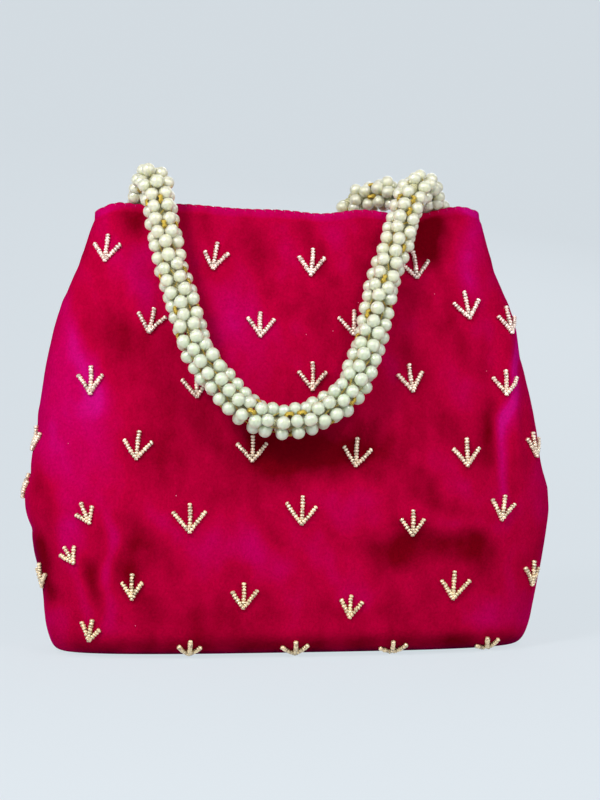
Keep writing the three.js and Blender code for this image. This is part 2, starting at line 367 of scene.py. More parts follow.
class VelvetPanel:
    """Where each row of a velvet panel goes: inside facing, hem roll, wall, and round under the base."""

    columns = 190
    rows = 176
    facing_share = 0.05
    roll_share = 0.045
    under_share = 0.13
    hem_slack = 0.3
    scallop_height = 0.6 * MM
    scallop_curve = 0.7
    groove_depth = 0.45 * MM
    groove_drop = 4 * MM
    groove_reach = 1.1 * MM
    tuck_depth = 1.1 * MM
    tuck_start = 0.985

    def __init__(self, form, side):
        self.form = form
        self.side = side

    def place(self, u, t):
        form = self.form
        across = math.sin(u * math.pi / 2)
        hem = form.hem_height(across, self.side)
        top = hem - form.roll
        wall_start = self.facing_share + self.roll_share
        wall_end = 1 - self.under_share
        if t < self.facing_share:
            drop = form.facing * (1 - t / self.facing_share)
            point, normal = form.wall(u, top - drop)
            return self.finish(point - normal * 2 * form.roll, normal, self.hem_slack)
        if t < wall_start:
            turn = math.pi * (1 - (t - self.facing_share) / self.roll_share)
            point, normal = form.wall(u, top)
            rise = form.roll + self.scallop(across)
            way = normal * form.roll * (math.cos(turn) - 1) + Vector((0, 0, rise * math.sin(turn)))
            return self.finish(point + way, normal, self.hem_slack)
        if t <= wall_end:
            z = top + (form.under_radius - top) * (t - wall_start) / (wall_end - wall_start)
            point, normal = form.wall(u, z)
            groove = self.groove_depth * hump(hem - z - self.groove_drop, self.groove_reach)
            return self.finish(point - normal * groove, normal, 1)
        turn = (t - wall_end) / self.under_share * math.pi / 2
        point, normal = form.wall(u, form.under_radius * (1 - turn))
        tuck = self.tuck_depth * ramp(t, self.tuck_start, 1)
        return self.finish(point - normal * tuck, normal, 1)

    def scallop(self, across):
        """How much the hem's edge stands up between its stitches."""
        arc = across * self.form.hem_half_width
        wave = abs(math.sin(math.pi * arc / STITCH_PITCH)) ** self.scallop_curve
        return self.scallop_height * (wave - 0.5)

    def finish(self, point, normal, share):
        point = turned(point, self.side)
        normal = turned(normal, self.side)
        return point + normal * slack(point, self.side) * share + self.form.slouch(point)


# Where the front's velvet is painted brighter or darker: brushed pile, with painted shadows of the handles,
# painted sheen along the left edge, painted highlights on crease ridges and painted shade in crease hollows.
# Each stroke's middle (x, z), half-length, half-width and lean from upright, in millimetres and degrees,
# and how much brighter it is
PILE_AND_PAINTED_LIGHT_STROKES = (
    # Painted sheen along the left edge.
    (-103, 150, 62, 7, 17, 0.44),
    (-102, 98, 34, 12, 6, 0.2),
    # Painted highlights on the ridges of the lower left creases.
    (-97, 44, 32, 3.5, 18, 0.4),
    (-84, 40, 28, 3, 5, 0.42),
    # Painted shade in the hollows of the lower left creases.
    (-76, 43, 13, 6, 12, -0.28),
    (-89, 30, 14, 6, 22, -0.28),
    (-111, 38, 18, 5, 0, -0.42),
    (-108, 71, 12, 7, 30, -0.25),
    # Painted highlights on crease ridges.
    (-60, 58, 24, 5, 62, 0.16),
    (-68, 162, 17, 6, -6, 0.24),
    (-30, 153, 16, 6, 0, 0.22),
    (21, 183, 10, 8, 0, 0.2),
    # Painted shadow of the right strand, then painted shade in a crease hollow.
    (60, 190, 17, 10, 8, -0.52),
    (76, 197, 9, 4, 60, -0.1),
    # Painted shadow of the left strand.
    (-71, 193, 10, 5, 8, -0.35),
    (84, 182, 22, 6, -10, 0.4),
    # Painted highlight along the right ridge, then painted shade in the hollow beside it.
    (101, 114, 44, 3, -6, 0.7),
    (90, 96, 16, 5, -6, -0.28),
    # Painted shadows under the handle's bow.
    (6, 89, 46, 13, 88, -0.38),
    (-22, 104, 20, 10, 50, -0.2),
    # Painted shade in the hollow of a crease.
    (66, 47, 25, 8, 88, -0.3),
    (38, 51, 16, 8, 78, -0.26),
    # Painted highlights on crease ridges.
    (68, 60, 20, 5, 84, 0.22),
    (64, 82, 18, 6, 55, 0.2),
    (-18, 42, 14, 7, 50, 0.3),
    (-30, 50, 12, 8, 80, 0.15),
    (88, 18, 24, 9, 84, 0.26),
    (26, 29, 13, 8, 80, 0.24),
    (-40, 22, 30, 8, 80, -0.12),
)
PILE_LEVEL = 0.4
STROKE_DRIFT = 7
# A painted highlight along the hem, and painted shade near the floor, where the cloth turns under.
HEM_HIGHLIGHT_BAND = (2.5 * MM, 4.5 * MM)
HEM_PAINTED_HIGHLIGHT = 0.35
FOOT_SHADE_BAND = (2 * MM, 16 * MM)
FOOT_PAINTED_SHADE = 0.25


def pile_and_painted_light_at(point, side, form):
    """How dark or bright the velvet is at a place: its pile brushed down or up, with painted shadows,
    painted shade and painted highlights added. 0 is dark, 1 is bright.
    """
    x = -side * point.x
    z = point.z
    total = PILE_LEVEL + 0.26 * noise.noise(Vector((x * 22 + 3, z * 16, side * 3.0)))
    total += 0.2 * noise.noise(Vector((x * 75 + z * 26, z * 38, 5.0 + side)))
    total += 0.1 * noise.noise(Vector((x * 190, z * 120, 9.0 + side)))
    drift_x = STROKE_DRIFT * noise.noise(Vector((x * 48, z * 48, 2.3)))
    drift_z = STROKE_DRIFT * noise.noise(Vector((x * 48, z * 48, 12.7)))
    # The strokes hold brushed pile, painted shadows of the handles, and painted highlights and painted shade
    # along the creases.
    for stroke_x, stroke_z, reach, spread, lean, amount in PILE_AND_PAINTED_LIGHT_STROKES:
        lean = math.radians(lean)
        dx = x / MM - stroke_x + drift_x
        dz = z / MM - stroke_z + drift_z
        along = (dz * math.cos(lean) - dx * math.sin(lean)) / reach
        across = (dx * math.cos(lean) + dz * math.sin(lean)) / spread
        total += amount * math.exp(-(along ** 4) - across ** 2)
    # A painted highlight just below the hem, and painted shade near the floor.
    below_hem = form.hem_height(-side * point.x / form.hem_half_width, side) - z
    total += HEM_PAINTED_HIGHLIGHT * (1 - ramp(below_hem, *HEM_HIGHLIGHT_BAND))
    total -= FOOT_PAINTED_SHADE * (1 - ramp(z, *FOOT_SHADE_BAND))
    return min(max(total, 0), 1)


# Stores the pile's brushing, with its painted shadows and painted highlights, as a point attribute.
def set_pile_and_painted_light(piece, side):
    form = Form()
    pile_and_light_values = piece.data.attributes.new("pile_and_painted_light", "FLOAT", "POINT")
    pile_and_light_values.data.foreach_set("value", [pile_and_painted_light_at(v.co, side, form) for v in piece.data.vertices])


def make_velvet_panel(name, node, side, material):
    layout = VelvetPanel(Form(), side)
    bm = panel_grid(layout.columns, layout.rows)
    for vertex in bm.verts:
        vertex.co = layout.place(2 * vertex.co.x, 0.5 - vertex.co.y)
    piece = new_object(name, bm, material)
    set_pile_and_painted_light(piece, side)
    add_thickness(piece, bpy.context.scene.potli_cloth.velvet_wall)
    return settle(piece, "bag", "velvet", node)


def hem_stitches(name, side, material):
    """The short stitches over the hem's roll, each one down in a dip of the hem's edge."""
    points, first, step, slant = 9, 0.056, 0.0049, 0.001
    layout = VelvetPanel(Form(), side)
    width = layout.form.hem_half_width
    count = int(width / STITCH_PITCH)
    bm = bmesh.new()
    for index in range(-count, count + 1):
        u = math.asin(index * STITCH_PITCH / width) * 2 / math.pi
        line = [layout.place(u + slant * number, first + step * number) for number in range(points)]
        tube_along(bm, line, 0.22 * MM, 4, False)
    return settle(new_object(name, bm, material), "bag", "thread")


def lined_panel(name, node, side, material):
    """A lining panel: satin, slack between its seams, from the facing's edge down to the base."""
    form = Form()
    lap, low = 1.0 * MM, 4.6 * MM
    depth, edge_depth, wave = 2.5 * MM, 0.9 * MM, 0.55 * MM
    top = HEM - form.roll - form.facing + lap
    bm = panel_grid(96, 80)
    for vertex in bm.verts:
        share = 0.5 - vertex.co.y
        z = top + (low - top) * share
        point, normal = form.wall(2 * vertex.co.x, z)
        ripple = noise.noise(Vector((point.x * 45, side * 4.0, z * 22)))
        ripple += 0.4 * noise.noise(Vector((point.x * 130, side * 4.0, z * 60)))
        inside = depth + edge_depth * ramp(share, 0, 0.05) + wave * ripple * ramp(share, 0, 0.1)
        vertex.co = turned(point - normal * inside, side)
        vertex.co += form.slouch(vertex.co)
    bmesh.ops.reverse_faces(bm, faces=bm.faces)
    piece = new_object(name, bm, material)
    add_thickness(piece, 0.4 * MM)
    return settle(piece, "bag", "lining", node)


def base_sheet(name, node, slot, material, height, inset, down, rise):
    """A flat layer of the base inside the wall's foot, its edge turned by rise into the seam."""
    form = Form()
    half_width, half_depth = form.base_half_width, form.base_half_depth
    edge_turn, wave_height, wave_start = 1.4 * MM, 0.2 * MM, 6 * MM
    bm = panel_grid(96, 40)
    for vertex in bm.verts:
        across = math.sin(vertex.co.x * math.pi)
        bow = bow_at(across, form.base_squareness)
        share = 2 * vertex.co.y
        x = across * (half_width - inset[0])
        y = share * bow * (half_depth - inset[1])
        edge = min((1 - abs(share)) * bow * half_depth, (1 - abs(across)) * half_width)
        z = height + rise * math.exp(-edge / edge_turn)
        if not down:
            z += wave_height * noise.noise(Vector((x * 50, y * 50, height))) * ramp(edge, 0, wave_start)
        vertex.co = Vector((x, y, z))
    bmesh.ops.remove_doubles(bm, verts=bm.verts, dist=0.01 * MM)
    bmesh.ops.dissolve_degenerate(bm, edges=bm.edges, dist=0.01 * MM)
    if down:
        bmesh.ops.reverse_faces(bm, faces=bm.faces)
    piece = new_object(name, bm, material)
    add_thickness(piece, 0.5 * MM)
    return settle(piece, "bag", slot, node)


# Materials

def new_material(name):
    material = bpy.data.materials.new(name)
    material.use_nodes = True
    return material, material.node_tree


def object_place(tree):
    return tree.nodes.new("ShaderNodeTexCoord").outputs["Object"]


def feed(tree, socket, value):
    """Links another socket into this one, or sets a plain value or colour on it."""
    if isinstance(value, bpy.types.NodeSocket):
        tree.links.new(value, socket)
    else:
        socket.default_value = (*value, 1) if socket.type == "RGBA" else value


def add_node(tree, kind, inputs=(), **settings):
    """A new node with its settings, and with its inputs fed by name or number."""
    node = tree.nodes.new(kind)
    for name, value in settings.items():
        setattr(node, name, value)
    for key, value in dict(inputs).items():
        feed(tree, node.inputs[key], value)
    return node


def set_shader(tree, values):
    for name, value in values.items():
        feed(tree, tree.nodes["Principled BSDF"].inputs[name], value)


def maths(tree, operation, *values):
    return add_node(tree, "ShaderNodeMath", enumerate(values), operation=operation).outputs[0]


def noise_at(tree, place, scale, detail=2.0, roughness=0.5):
    values = {"Vector": place, "Scale": scale, "Detail": detail, "Roughness": roughness}
    return add_node(tree, "ShaderNodeTexNoise", values).outputs["Fac"]


def waves_at(tree, place, direction, scale, distortion, detail):
    values = {"Vector": place, "Scale": scale, "Distortion": distortion, "Detail": detail}
    return add_node(tree, "ShaderNodeTexWave", values, bands_direction=direction).outputs["Fac"]


def height_share(tree, place, low, high):
    """0 up to the low height, and 1 from the high one on."""
    height = add_node(tree, "ShaderNodeSeparateXYZ", {0: place}).outputs["Z"]
    values = {"Value": height, "From Min": low, "From Max": high}
    return add_node(tree, "ShaderNodeMapRange", values).outputs[0]


def tones_along(tree, factor, *stops):
    """A colour from a ramp of (position, colour) stops."""
    node = add_node(tree, "ShaderNodeValToRGB", {0: factor})
    elements = node.color_ramp.elements
    while len(elements) < len(stops):
        elements.new(0.5)
    for element, (position, value) in zip(elements, stops):
        element.position = position
        element.color = (*value, 1)
    return node.outputs[0]


def mixed(tree, blend, factor, first, second):
    """A colour mix. Each input is a socket or a plain value."""
    values = {0: factor, 6: first, 7: second}
    return add_node(tree, "ShaderNodeMix", values, data_type="RGBA", blend_type=blend).outputs[2]


def bumped(tree, height, strength, distance):
    values = {"Height": height, "Strength": strength, "Distance": distance}
    return add_node(tree, "ShaderNodeBump", values).outputs[0]


def shaded(tone, share):
    return tuple(part * share for part in tone)


def grey(level):
    return (level, level, level)


def velvet_material():
    """Velvet, whose colour follows how its pile was brushed, with painted shadows and painted highlights,
    and with lint on it.
    """
    cloth = bpy.context.scene.potli_cloth
    patch_share = 0.34
    lint_size = 0.035
    lint_rarity = 0.86
    lint_colour = (0.8, 0.36, 0.46)
    material, tree = new_material("velvet")
    place = object_place(tree)
    # The point attribute carries the brushed pile together with painted shade and painted highlights.
    pile_and_painted_light = add_node(tree, "ShaderNodeAttribute", attribute_name="pile_and_painted_light").outputs["Fac"]
    patch = noise_at(tree, place, 60, 7, 0.68)
    nap = noise_at(tree, place, 900, 3, 0.7)
    lowered = maths(tree, "SUBTRACT", pile_and_painted_light, patch_share / 2)
    pile_and_light_level = maths(tree, "MULTIPLY_ADD", patch, patch_share, lowered)
    tones = tones_along(
        tree, pile_and_light_level, (0.04, cloth.wine), (0.42, cloth.crimson), (0.78, cloth.magenta), (1.0, cloth.violet)
    )
    grain = tones_along(tree, nap, (0.3, grey(0.8)), (0.7, grey(1.12)))
    coloured = mixed(tree, "MULTIPLY", 1.0, tones, grain)
    lint = add_node(tree, "ShaderNodeTexVoronoi", {"Vector": place, "Scale": 170})
    near = maths(tree, "LESS_THAN", lint.outputs["Distance"], lint_size)
    chance = add_node(tree, "ShaderNodeSeparateColor", {0: lint.outputs["Color"]}).outputs[0]
    rare = maths(tree, "GREATER_THAN", chance, lint_rarity)
    speck = maths(tree, "MULTIPLY", near, rare)
    set_shader(tree, {
        "Base Color": mixed(tree, "MIX", speck, coloured, lint_colour),
        "Normal": bumped(tree, nap, 0.35, 0.4 * MM),
        "Roughness": 0.95,
        "Specular IOR Level": 0.0,
        "Sheen Weight": 0.3,
        "Sheen Roughness": 0.3,
        "Sheen Tint": (1.0, 0.01, 0.55),
    })
    return material


def satin_material():
    """Satin with uneven threads across it."""
    lining = bpy.context.scene.potli_cloth.lining
    material, tree = new_material("lining satin")
    place = object_place(tree)
    slub = noise_at(tree, place, 160, 4, 0.6)
    weave = waves_at(tree, place, "Z", 520, 1.2, 1.0)
    set_shader(tree, {
        "Base Color": tones_along(tree, slub, (0.35, shaded(lining, 0.7)), (0.65, lining)),
        "Normal": bumped(tree, weave, 0.2, 0.2 * MM),
        "Roughness": 0.38,
        "Sheen Weight": 0.2,
        "Sheen Tint": (1.0, 0.3, 0.5),
    })
    return material


def pearl_material():
    """Imitation pearl, creamier towards the hem and mintier in the handle's bow."""
    handles = bpy.context.scene.potli_handles
    bow_top, rope_top = 130 * MM, 185 * MM
    pinkish, greenish = (1.0, 0.97, 0.97), (0.97, 1.0, 0.95)
    material, tree = new_material("pearl")
    place = object_place(tree)
    cloud = noise_at(tree, place, 130)
    tints = tones_along(tree, cloud, (0.36, pinkish), (0.5, grey(1)), (0.66, greenish))
    level = height_share(tree, place, bow_top, rope_top)
    plain = mixed(tree, "MIX", level, handles.mint, handles.pearl)
    skin = noise_at(tree, place, 1500)
    set_shader(tree, {
        "Base Color": mixed(tree, "MULTIPLY", 1.0, plain, tints),
        "Normal": bumped(tree, skin, 0.05, 0.2 * MM),
        "Metallic": 0.08,
        "Roughness": 0.3,
        "Specular IOR Level": 0.9,
        "Subsurface Weight": 1.0,
        "Subsurface Radius": (1.0, 0.95, 0.75),
        "Subsurface Scale": 6 * MM,
        "Coat Weight": 1.0,
        "Coat Roughness": 0.12,
        "Coat Tint": (1.0, 0.96, 0.94),
        "Sheen Weight": 0.8,
        "Sheen Roughness": 0.5,
        "Sheen Tint": (1.0, 1.0, 0.88),
    })
    return material


def twisted_material(name, base, scale, shine):
    """A twisted cord or thread: diagonal strands in its colour, with painted shade in the grooves between
    them.
    """
    material, tree = new_material(name)
    # The strands' hollows are painted at half the colour: painted shade in the grooves between them.
    strands = waves_at(tree, object_place(tree), "DIAGONAL", scale, 2.0, 2.0)
    set_shader(tree, {
        "Base Color": tones_along(tree, strands, (0.2, shaded(base, 0.5)), (0.7, base)),
        "Normal": bumped(tree, strands, 0.5, 0.3 * MM),
        "Roughness": 0.75 - 0.35 * shine,
        "Metallic": 0.5 * shine,
    })
    return material


def bead_material():
    """Seed beads, gold low on the bag and silver high on it, each with a painted glint: specks of its colour
    painted brighter and darker.
    """
    sprigs = bpy.context.scene.potli_sprigs
    gold_top, silver_start = 20 * MM, 160 * MM
    material, tree = new_material("sprig beads")
    place = object_place(tree)
    level = height_share(tree, place, gold_top, silver_start)
    tones = mixed(tree, "MIX", level, sprigs.gold, sprigs.silver)
    # Painted glints: specks of the beads' colour made brighter and darker.
    painted_glint = noise_at(tree, place, 700, 1)
    painted_glint_tones = tones_along(tree, painted_glint, (0.35, (0.55, 0.5, 0.48)), (0.5, grey(1)), (0.68, (1.35, 1.3, 1.3)))
    set_shader(tree, {
        "Base Color": mixed(tree, "MULTIPLY", 1.0, tones, painted_glint_tones),
        "Metallic": 0.3,
        "Roughness": 0.25,
        "Specular IOR Level": 0.8,
        "Coat Weight": 1.0,
        "Coat Roughness": 0.06,
    })
    return material


def plain_material(name, base, metallic, roughness, grain_scale, strength):
    """A material whose colour and surface vary with a fine grain."""
    material, tree = new_material(name)
    grain = noise_at(tree, object_place(tree), grain_scale, 4, 0.6)
    set_shader(tree, {
        "Base Color": tones_along(tree, grain, (0.3, shaded(base, 0.82)), (0.7, base)),
        "Normal": bumped(tree, grain, strength, 0.2 * MM),
        "Metallic": metallic,
        "Roughness": roughness,
    })
    return material


# Sprigs

VIEW_SIZE = (600, 800)
SENSOR = 36.0
# Each sprig of the front, row by row: its middle in pixels of the view, its lean in degrees and its size
FRONT_SPRIGS = (
    (107, 248, 2, 1), (215, 256, 10, 1), (312, 262, 6, 1), (414, 265, -8, 1),
    (152, 319, 12, 1), (260, 323, 0, 0.95), (354, 321, 5, 1), (466, 305, -9, 1.05), (508, 320, 0, 1),
    (91, 380, 0, 1), (197, 383, 0, 1), (312, 376, 0, 1), (411, 378, -5, 1), (506, 381, 0, 1),
    (38, 437, 0, 1), (138, 445, 6, 1), (253, 447, 3, 1), (356, 452, 2, 1.05), (467, 452, 3, 1),
    (533, 443, -5, 1),
    (27, 484, 0, 0.9), (85, 510, -24, 0.8), (190, 518, 2, 1.1), (302, 510, 3, 1.05), (413, 521, 2, 1),
    (503, 506, 14, 1),
    (67, 551, -34, 0.75), (42, 573, 10, 0.9), (133, 585, 3, 0.9), (243, 594, 0, 0.95), (350, 603, 3, 0.9),
    (453, 585, 3, 1.05), (532, 571, 0, 0.95),
    (92, 627, 16, 0.85), (190, 647, 0, 0.95), (296, 647, 0, 0.95), (393, 646, 0, 0.95), (487, 642, 0, 0.95),
)
BACK_ROW_HEIGHTS = (182, 152, 123, 91, 62, 30, 9)
SPRIG_PITCH = 47.5 * MM
SEAM_MARGIN = 4 * MM
BEAD_SQUASH = 0.66
BEAD_SEAT = 0.75
STEM_START = 2.4 * MM
ARM_START = 0.1 * MM
ARM_SPREAD = 38


def view_ray(across, down):
    """Where the camera stands, and the way it looks through a pixel."""
    camera = bpy.context.scene.camera
    reach = SENSOR / camera.data.lens
    x = ((across - VIEW_SIZE[0] / 2) / VIEW_SIZE[1] + camera.data.shift_x) * reach
    y = (-(down - VIEW_SIZE[1] / 2) / VIEW_SIZE[1] + camera.data.shift_y) * reach
    turn = camera.matrix_world.to_3x3()
    return camera.matrix_world.translation, (turn @ Vector((x, y, -1))).normalized()


def surface_of(piece):
    bm = bmesh.new()
    bm.from_mesh(piece.data)
    tree = BVHTree.FromBMesh(bm)
    bm.free()
    return tree


def front_sprig_places(tree):
    """Where the front's sprigs lie, with their lean and size. One past the outline moves onto the cloth."""
    places = []
    for across, down, lean, size in FRONT_SPRIGS:
        spot = None
        while spot is None:
            start, way = view_ray(across, down)
            spot = tree.ray_cast(start, way)[0]
            across += 1 if across < VIEW_SIZE[0] / 2 else -1
        places.append((spot, lean, size))
    return places


def back_sprig_places(tree, draw):
    """Where the back's sprigs lie: in rows, each one shifted by half a pitch from the last."""
    form = Form()
    places = []
    for index, height in enumerate(BACK_ROW_HEIGHTS):
        z = height * MM
        shift = SPRIG_PITCH / 2 if index % 2 else 0
        for step in range(-3, 4):
            x = step * SPRIG_PITCH + shift
            if abs(x) > form.half_width(z) - SEAM_MARGIN:
                continue
            wanted = Vector((x + draw.uniform(-2, 2) * MM, 0.2, z + draw.uniform(-2, 2) * MM))
            spot = tree.ray_cast(wanted, Vector((0, -1, 0)))[0]
            if spot is not None:
                places.append((spot, draw.uniform(-7, 7), 1))
    return places


def source_mesh(name, build):
    """A small mesh to copy many times."""
    bm = bmesh.new()
    build(bm)
    mesh = bpy.data.meshes.new(name)
    bm.to_mesh(mesh)
    bm.free()
    return mesh


def add_copy(bm, source, matrix):
    copy = source.copy()
    copy.transform(matrix)
    bm.from_mesh(copy)
    bpy.data.meshes.remove(copy)


def sprig_arms(draw, size):
    """The three arms of a sprig: where each starts, its lean and its length."""
    sprigs = bpy.context.scene.potli_sprigs
    spread = math.radians(ARM_SPREAD * size + draw.uniform(-4, 4))
    uneven = math.radians(draw.uniform(-5, 5))
    stem = size * sprigs.stem_length
    arm = size * sprigs.arm_length
    return (
        (STEM_START, uneven / 2, stem + draw.uniform(-0.8, 0.6) * MM),
        (ARM_START, spread + uneven, arm + draw.uniform(-0.7, 0.6) * MM),
        (ARM_START, -spread + uneven, arm + draw.uniform(-0.7, 0.6) * MM),
    )


def upright_on(normal):
    """The way up along the cloth. Under the base it is the way out."""
    if normal.z < -0.5:
        up = Vector((0, normal.y, 0)) - normal * normal.y * normal.y
    else:
        up = Vector((0, 0, 1)) - normal * normal.z
    return up.normalized()


def make_sprigs(name, places, tree, draw, material):
    sprigs = bpy.context.scene.potli_sprigs
    radius = sprigs.bead_diameter / 2
    squashed = Matrix.Diagonal((1, 1, BEAD_SQUASH, 1))
    bead = source_mesh("bead", lambda part: bmesh.ops.create_uvsphere(
        part, u_segments=8, v_segments=5, radius=radius, matrix=squashed
    ))
    bm = bmesh.new()
    half = sprigs.stem_length / 2
    for place, lean, size in places:
        spot, normal, _, _ = tree.find_nearest(place)
        up = Matrix.Rotation(math.radians(-lean), 3, normal) @ upright_on(normal)
        right = up.cross(normal).normalized()
        foot = spot - up * half
        for start, turn, reach in sprig_arms(draw, size):
            way = up * math.cos(turn) + right * math.sin(turn)
            bend = draw.uniform(-0.35, 0.35) * MM
            count = int((reach - start) / sprigs.bead_pitch) + 1
            for index in range(count):
                along = start + index * sprigs.bead_pitch
                bow = bend * math.sin(math.pi * index / count)
                near, out, _, _ = tree.find_nearest(foot + way * along + way.cross(normal) * bow)
                thread = (way - out * way.dot(out)).normalized()
                turn_to = thread.to_track_quat("Z", "Y").to_matrix().to_4x4()
                tilt = Matrix.Rotation(draw.uniform(-0.35, 0.35), 4, "X")
                scale = Matrix.Scale(draw.uniform(0.9, 1.08), 4)
                middle = near + out * radius * BEAD_SEAT
                if middle.z > radius:
                    add_copy(bm, bead, Matrix.Translation(middle) @ turn_to @ tilt @ scale)
    piece = new_object(name, bm, material)
    return settle(piece, "bag", "sprig_beads")


# Pearl ropes

FOLD_STEPS = 3
FOLD_ANGLE = math.radians(167)
FOLD_STEP = FOLD_ANGLE / FOLD_STEPS
LINK = 9 * MM
ANCHOR_DEPTH = 8.7 * MM
FIRST_PIVOT = HEM + 6.2 * MM
CORE_LAP = 2.5 * MM
CURVE_STEPS = 12
KNOT_SHARE = 0.3

# Each rope: its side, where each end is sewn and starts to hang and how far it presses the hem down,
# and where it hangs between, as its place across the bag and its drop below the hem, in millimetres
ROPES = {
    "front": {
        "side": -1,
        "left": (-67, -62, 1.5),
        "right": (66, 54, 3.4),
        "hang": (
            (-58, 17), (-55, 33), (-50, 48), (-46, 64), (-39, 76), (-30, 88), (-19.5, 96.5),
            (-7, 99.5), (6, 97), (18, 90), (26, 80), (31, 67), (35, 53), (38, 40), (43, 26), (48, 13),
        ),
    },
    "back": {
        "side": 1,
        "left": (-67, -60, 1.5),
        "right": (68, 33, 3),
        "hang": (
            (-57, 15), (-54, 31), (-50, 47), (-45, 63), (-38, 79), (-26, 94), (-11, 100),
            (4, 96), (16, 86), (24, 70), (29, 52), (31, 32), (32, 14),
        ),
    },
}


def fold_pivots(rope, hand):
    """The places that a rope's end turns about, from the hem outwards."""
    side = rope["side"]
    sewn, start, pressed = (value * MM for value in rope[hand])
    points = []
    y, z = side * ANCHOR_DEPTH, FIRST_PIVOT - pressed
    for index in range(FOLD_STEPS):
        x = sewn + (start - sewn) * index / (FOLD_STEPS - 1)
        points.append(Vector((x, y, z)))
        y += side * LINK * math.sin((index + 1) * FOLD_STEP)
        z += LINK * math.cos((index + 1) * FOLD_STEP)
    return points


def hanging_path(rope):
    """The middle line of the hanging U, from its left last pivot to its right one."""
    left = fold_pivots(rope, "left")[-1]
    right = fold_pivots(rope, "right")[-1]
    lean = math.tan(math.pi - FOLD_ANGLE)
    points = [left]
    for x, drop in rope["hang"]:
        z = HEM - drop * MM
        points.append(Vector((x * MM, left.y + rope["side"] * (left.z - z) * lean, z)))
    points.append(right)
    return smooth_line(points)


def smooth_line(points):
    """A smooth curve through points, as a finer line of points."""
    line = []
    for index in range(len(points) - 1):
        first, last = points[index], points[index + 1]
        before = points[index - 1] if index else first
        after = points[index + 2] if index + 2 < len(points) else last
        handle_a = first + (last - before) / 6
        handle_b = last - (after - first) / 6
        piece = interpolate_bezier(first, handle_a, handle_b, last, CURVE_STEPS + 1)
        line.extend(piece if not line else piece[1:])
    return line


def walk(line, distances):
    """Points and directions at distances along a line of points."""
    found = []
    index, done = 0, 0.0
    for distance in distances:
        while index < len(line) - 2 and done + (line[index + 1] - line[index]).length < distance:
            done += (line[index + 1] - line[index]).length
            index += 1
        way = (line[index + 1] - line[index]).normalized()
        found.append((line[index] + way * (distance - done), way))
    return found


def line_length(line):
    return sum((b - a).length for a, b in zip(line, line[1:]))


Row = namedtuple("Row", "number group body point way")


class RowPlan:
    """The rows of pearls of one rope: which body each rides on, where it is and which group it is in."""

    end_offset = 3.0 * MM
    group_sizes = (3, 2, 4, 2, 3, 2, 2, 3)
    nested_pitch = 0.88

    def __init__(self, name):
        self.name = name
        rope = ROPES[name]
        left = fold_pivots(rope, "left")
        right = fold_pivots(rope, "right")
        down = Vector((0, 0, -3 * self.end_offset))
        self.sections = [("bag", [left[0] + down, left[0]])]
        self.sections += [(f"{name}_fold_{n + 1}", [left[n], left[n + 1]]) for n in (0, 1)]
        self.sections.append((f"{name}_handle", hanging_path(rope)))
        self.sections += [(f"{name}_fold_{n + 1}", [right[n + 1], right[n]]) for n in (1, 0)]
        self.sections.append(("bag", [right[0], right[0] + down]))
        self.rows = self.place_rows()

    def place_rows(self):
        first = 2 * self.end_offset
        room = sum(line_length(line) for _, line in self.sections) - 2 * first
        marks = self.spaced_marks(room)
        rows = []
        done = 0.0
        for body, line in self.sections:
            size = line_length(line)
            inside = [(n, group, first + mark - done) for n, (group, mark) in enumerate(marks)]
            inside = [item for item in inside if 0 <= item[2] < size]
            places = walk(line, [item[2] for item in inside])
            rows += [Row(n, group, body, *place) for (n, group, _), place in zip(inside, places)]
            done += size
        return rows

    def spaced_marks(self, room):
        """Each row's group and its distance along. Rows that nest in the last group sit closer to it."""
        pitch = bpy.context.scene.potli_handles.row_pitch
        marks = []
        mark, group = 0.0, 0
        while mark < room:
            for _ in range(self.group_sizes[group % len(self.group_sizes)]):
                marks.append((group, mark))
                mark += pitch
            mark -= pitch * (1 - self.nested_pitch)
            group += 1
        scale = room / marks[-1][1]
        return [(group, mark * scale) for group, mark in marks]


def row_axes(way):
    """Two directions across a rope, the first one towards the bag's side."""
    across = Vector((0, 1, 0)).cross(way)
    if across.length < 0.2:
        across = Vector((1, 0, 0))
    across = (across - way * across.dot(way)).normalized()
    return across, way.cross(across)


def new_ring(bm, sides):
    """A circle to extrude. Each corner keeps its number round the ring as it is extruded."""
    number = bm.verts.layers.int.get("round") or bm.verts.layers.int.new("round")
    ring = bmesh.ops.create_circle(bm, segments=sides, radius=1.0)["verts"]
    shape = []
    for index, vertex in enumerate(ring):
        vertex[number] = index
        shape.append(vertex.co.copy())
    edges = list(dict.fromkeys(edge for vertex in ring for edge in vertex.link_edges))
    return ring, edges, shape


def tube_along(bm, line, radius, sides, round_ends=True):
    """A closed tube along a line of points."""
    end_reach, end_width = 0.8 * radius, 0.55
    count = len(line)
    ways = [(line[min(n + 1, count - 1)] - line[max(n - 1, 0)]).normalized() for n in range(count)]
    stations = [(point, way, 1.0) for point, way in zip(line, ways)]
    if round_ends:
        stations.insert(0, (line[0] - ways[0] * end_reach, ways[0], end_width))
        stations.append((line[-1] + ways[-1] * end_reach, ways[-1], end_width))
    ring, edges, shape = new_ring(bm, sides)
    number = bm.verts.layers.int["round"]
    first_ring = edges
    for index, (point, way, share) in enumerate(stations):
        if index:
            grown = bmesh.ops.extrude_edge_only(bm, edges=edges)["geom"]
            ring = [item for item in grown if isinstance(item, bmesh.types.BMVert)]
            edges = [item for item in grown if isinstance(item, bmesh.types.BMEdge)]
        across, out = row_axes(way)
        for vertex in ring:
            flat = shape[vertex[number]]
            vertex.co = point + (across * flat.x + out * flat.y) * radius * share
    bmesh.ops.holes_fill(bm, edges=first_ring + edges)
    bmesh.ops.recalc_face_normals(bm, faces=bm.faces)


